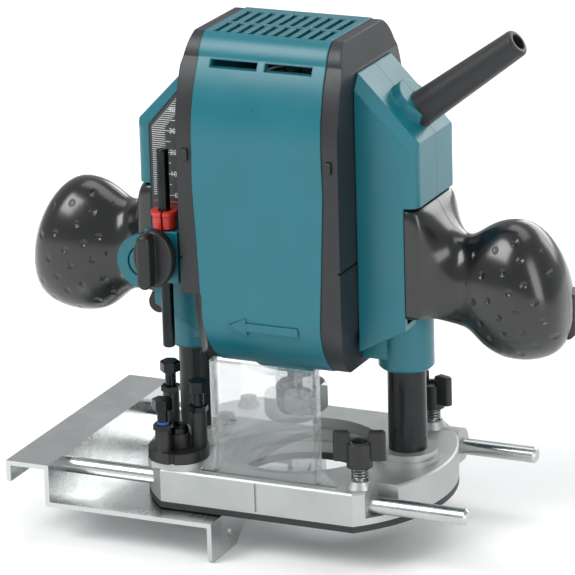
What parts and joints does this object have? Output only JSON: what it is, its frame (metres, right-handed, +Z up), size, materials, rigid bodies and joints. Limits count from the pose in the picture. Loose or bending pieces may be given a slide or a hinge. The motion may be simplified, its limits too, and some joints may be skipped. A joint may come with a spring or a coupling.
{
  "type": "compact plunge router",
  "caption": "Compact plunge router with side grips, depth stop turret, clear chip deflector and sliding edge guide.",
  "frame": {"origin": "centre of the cutter opening at the underside of the sole, on the spindle axis", "axes": "+X towards the grip with the trigger and the cord guard, -Y the front with the scale and the pole, +Z up the spindle"},
  "size_m": [0.2606, 0.127, 0.2404],
  "materials": {
    "cast_aluminium": "as-cast and tumbled, machined faces",
    "sole_phenolic": "moulded phenolic sheet, fine texture",
    "bright_zinc_steel": "bright zinc plated",
    "column_steel": "ground and blackened steel tube",
    "spring_steel": "drawn spring wire",
    "dark_nylon": "spark-textured glass-filled nylon",
    "teal_nylon": "spark-textured coloured nylon",
    "grip_plastic": "semi-gloss moulded grip with dimples",
    "red_plastic": "moulded acetal",
    "clear_plastic": "clear moulded polycarbonate",
    "label_plastic": "printed scale strip",
    "guard_rubber": "moulded rubber",
    "copper_winding": "enamelled copper wire",
    "core_steel": "stacked electrical steel",
    "carbon": "pressed carbon",
    "hard_steel": "hardened and ground steel"
  },
  "bodies": {
    "base": {"base_casting": "cast_aluminium", "sole_plate": "sole_phenolic", "sole_screws": "bright_zinc_steel", "left_column": "column_steel", "right_column": "column_steel", "plunge_springs": "spring_steel", "clamp_springs": "spring_steel", "chip_deflector": "clear_plastic", "nozzle_screw": "bright_zinc_steel", "turret_screw": "bright_zinc_steel"},
    "turret": {"turret_block": "dark_nylon", "stop_bolts": "bright_zinc_steel", "stop_nuts": "bright_zinc_steel"},
    "front_clamp": {"front_clamp_knob": "dark_nylon", "front_clamp_screw": "bright_zinc_steel"},
    "rear_clamp": {"rear_clamp_knob": "dark_nylon", "rear_clamp_screw": "bright_zinc_steel"},
    "edge_guide": {"guide_fence": "bright_zinc_steel", "front_guide_rod": "bright_zinc_steel", "rear_guide_rod": "bright_zinc_steel", "rod_screws": "bright_zinc_steel"},
    "motor_unit": {"motor_cover": "teal_nylon", "left_side_cover": "dark_nylon", "right_side_cover": "dark_nylon", "cover_clips": "dark_nylon", "motor_bracket": "teal_nylon", "left_arm_front": "teal_nylon", "left_arm_rear": "teal_nylon", "right_arm_front": "teal_nylon", "right_arm_rear": "teal_nylon", "left_handle_front": "grip_plastic", "left_handle_rear": "grip_plastic", "right_handle_front": "grip_plastic", "right_handle_rear": "grip_plastic", "scale_plate": "label_plastic", "cord_guard": "guard_rubber", "housing_screws": "bright_zinc_steel", "pivot_cap": "dark_nylon", "lever_pin": "bright_zinc_steel", "stator_core": "core_steel", "stator_coils": "copper_winding", "brush_holders": "bright_zinc_steel", "carbon_brushes": "carbon", "lower_bearing": "hard_steel", "upper_bearing": "hard_steel", "bearing_plate": "cast_aluminium", "switch_body": "dark_nylon"},
    "rotor": {"spindle": "hard_steel", "collet_cone": "hard_steel", "collet_nut": "hard_steel", "armature_core": "core_steel", "commutator": "copper_winding", "cooling_fan": "dark_nylon"},
    "stop_pole": {"stopper_pole": "bright_zinc_steel"},
    "pointer": {"depth_pointer": "red_plastic"},
    "knob": {"pole_knob": "dark_nylon"},
    "lever": {"lock_lever": "dark_nylon"},
    "trigger": {"switch_trigger": "dark_nylon"},
    "button": {"lock_button": "dark_nylon"},
    "shaft_stop": {"shaft_lock": "dark_nylon"}
  },
  "joints": [
    {"name": "plunge", "type": "slide", "parent": "base", "child": "motor_unit", "axis": [0, 0, 1], "range_m": [-0.035, 0], "stiffness_N_per_m": 1200, "springref_m": 0.03, "deforming": ["plunge_springs"]},
    {"name": "pole_slide", "type": "slide", "parent": "motor_unit", "child": "stop_pole", "axis": [0, 0, 1], "range_m": [0, 0.035]},
    {"name": "pointer_slide", "type": "slide", "parent": "stop_pole", "child": "pointer", "axis": [0, 0, 1], "range_m": [0, 0.026]},
    {"name": "pole_knob_turn", "type": "hinge", "parent": "motor_unit", "child": "knob", "pos_m": [-0.04969, -0.0457, 0.1155], "axis": [0, -1, 0], "range_deg": [0, 300]},
    {"name": "turret_turn", "type": "hinge", "parent": "base", "child": "turret", "pos_m": [-0.0432, -0.041, 0.024], "axis": [0, 0, 1], "continuous": true},
    {"name": "front_clamp_turn", "type": "hinge", "parent": "base", "child": "front_clamp", "pos_m": [0.0465, -0.0421, 0.034], "axis": [0, 0, 1], "range_deg": [0, 300]},
    {"name": "rear_clamp_turn", "type": "hinge", "parent": "base", "child": "rear_clamp", "pos_m": [0.0465, 0.0421, 0.034], "axis": [0, 0, 1], "range_deg": [0, 300]},
    {"name": "guide_slide", "type": "slide", "parent": "base", "child": "edge_guide", "axis": [1, 0, 0], "range_m": [-0.045, 0.0265]},
    {"name": "spindle_spin", "type": "hinge", "parent": "motor_unit", "child": "rotor", "pos_m": [0, 0, 0.1], "axis": [0, 0, 1], "continuous": true},
    {"name": "lever_turn", "type": "hinge", "parent": "motor_unit", "child": "lever", "pos_m": [-0.066, 0.026, 0.106], "axis": [0, 1, 0], "range_deg": [0, 35]},
    {"name": "trigger_press", "type": "slide", "parent": "motor_unit", "child": "trigger", "axis": [-1, 0, 0], "range_m": [0, 0.003], "stiffness_N_per_m": 900, "springref_m": -0.002},
    {"name": "button_press", "type": "slide", "parent": "motor_unit", "child": "button", "axis": [0, -1, 0], "range_m": [0, 0.003], "stiffness_N_per_m": 500, "springref_m": -0.002},
    {"name": "shaft_lock_press", "type": "slide", "parent": "motor_unit", "child": "shaft_stop", "axis": [0, -1, 0], "range_m": [0, 0.0024], "stiffness_N_per_m": 700, "springref_m": -0.003}
  ],
  "couplings": [
    {"joint": "pole_slide", "follows": "plunge", "ratio": -1}
  ]
}
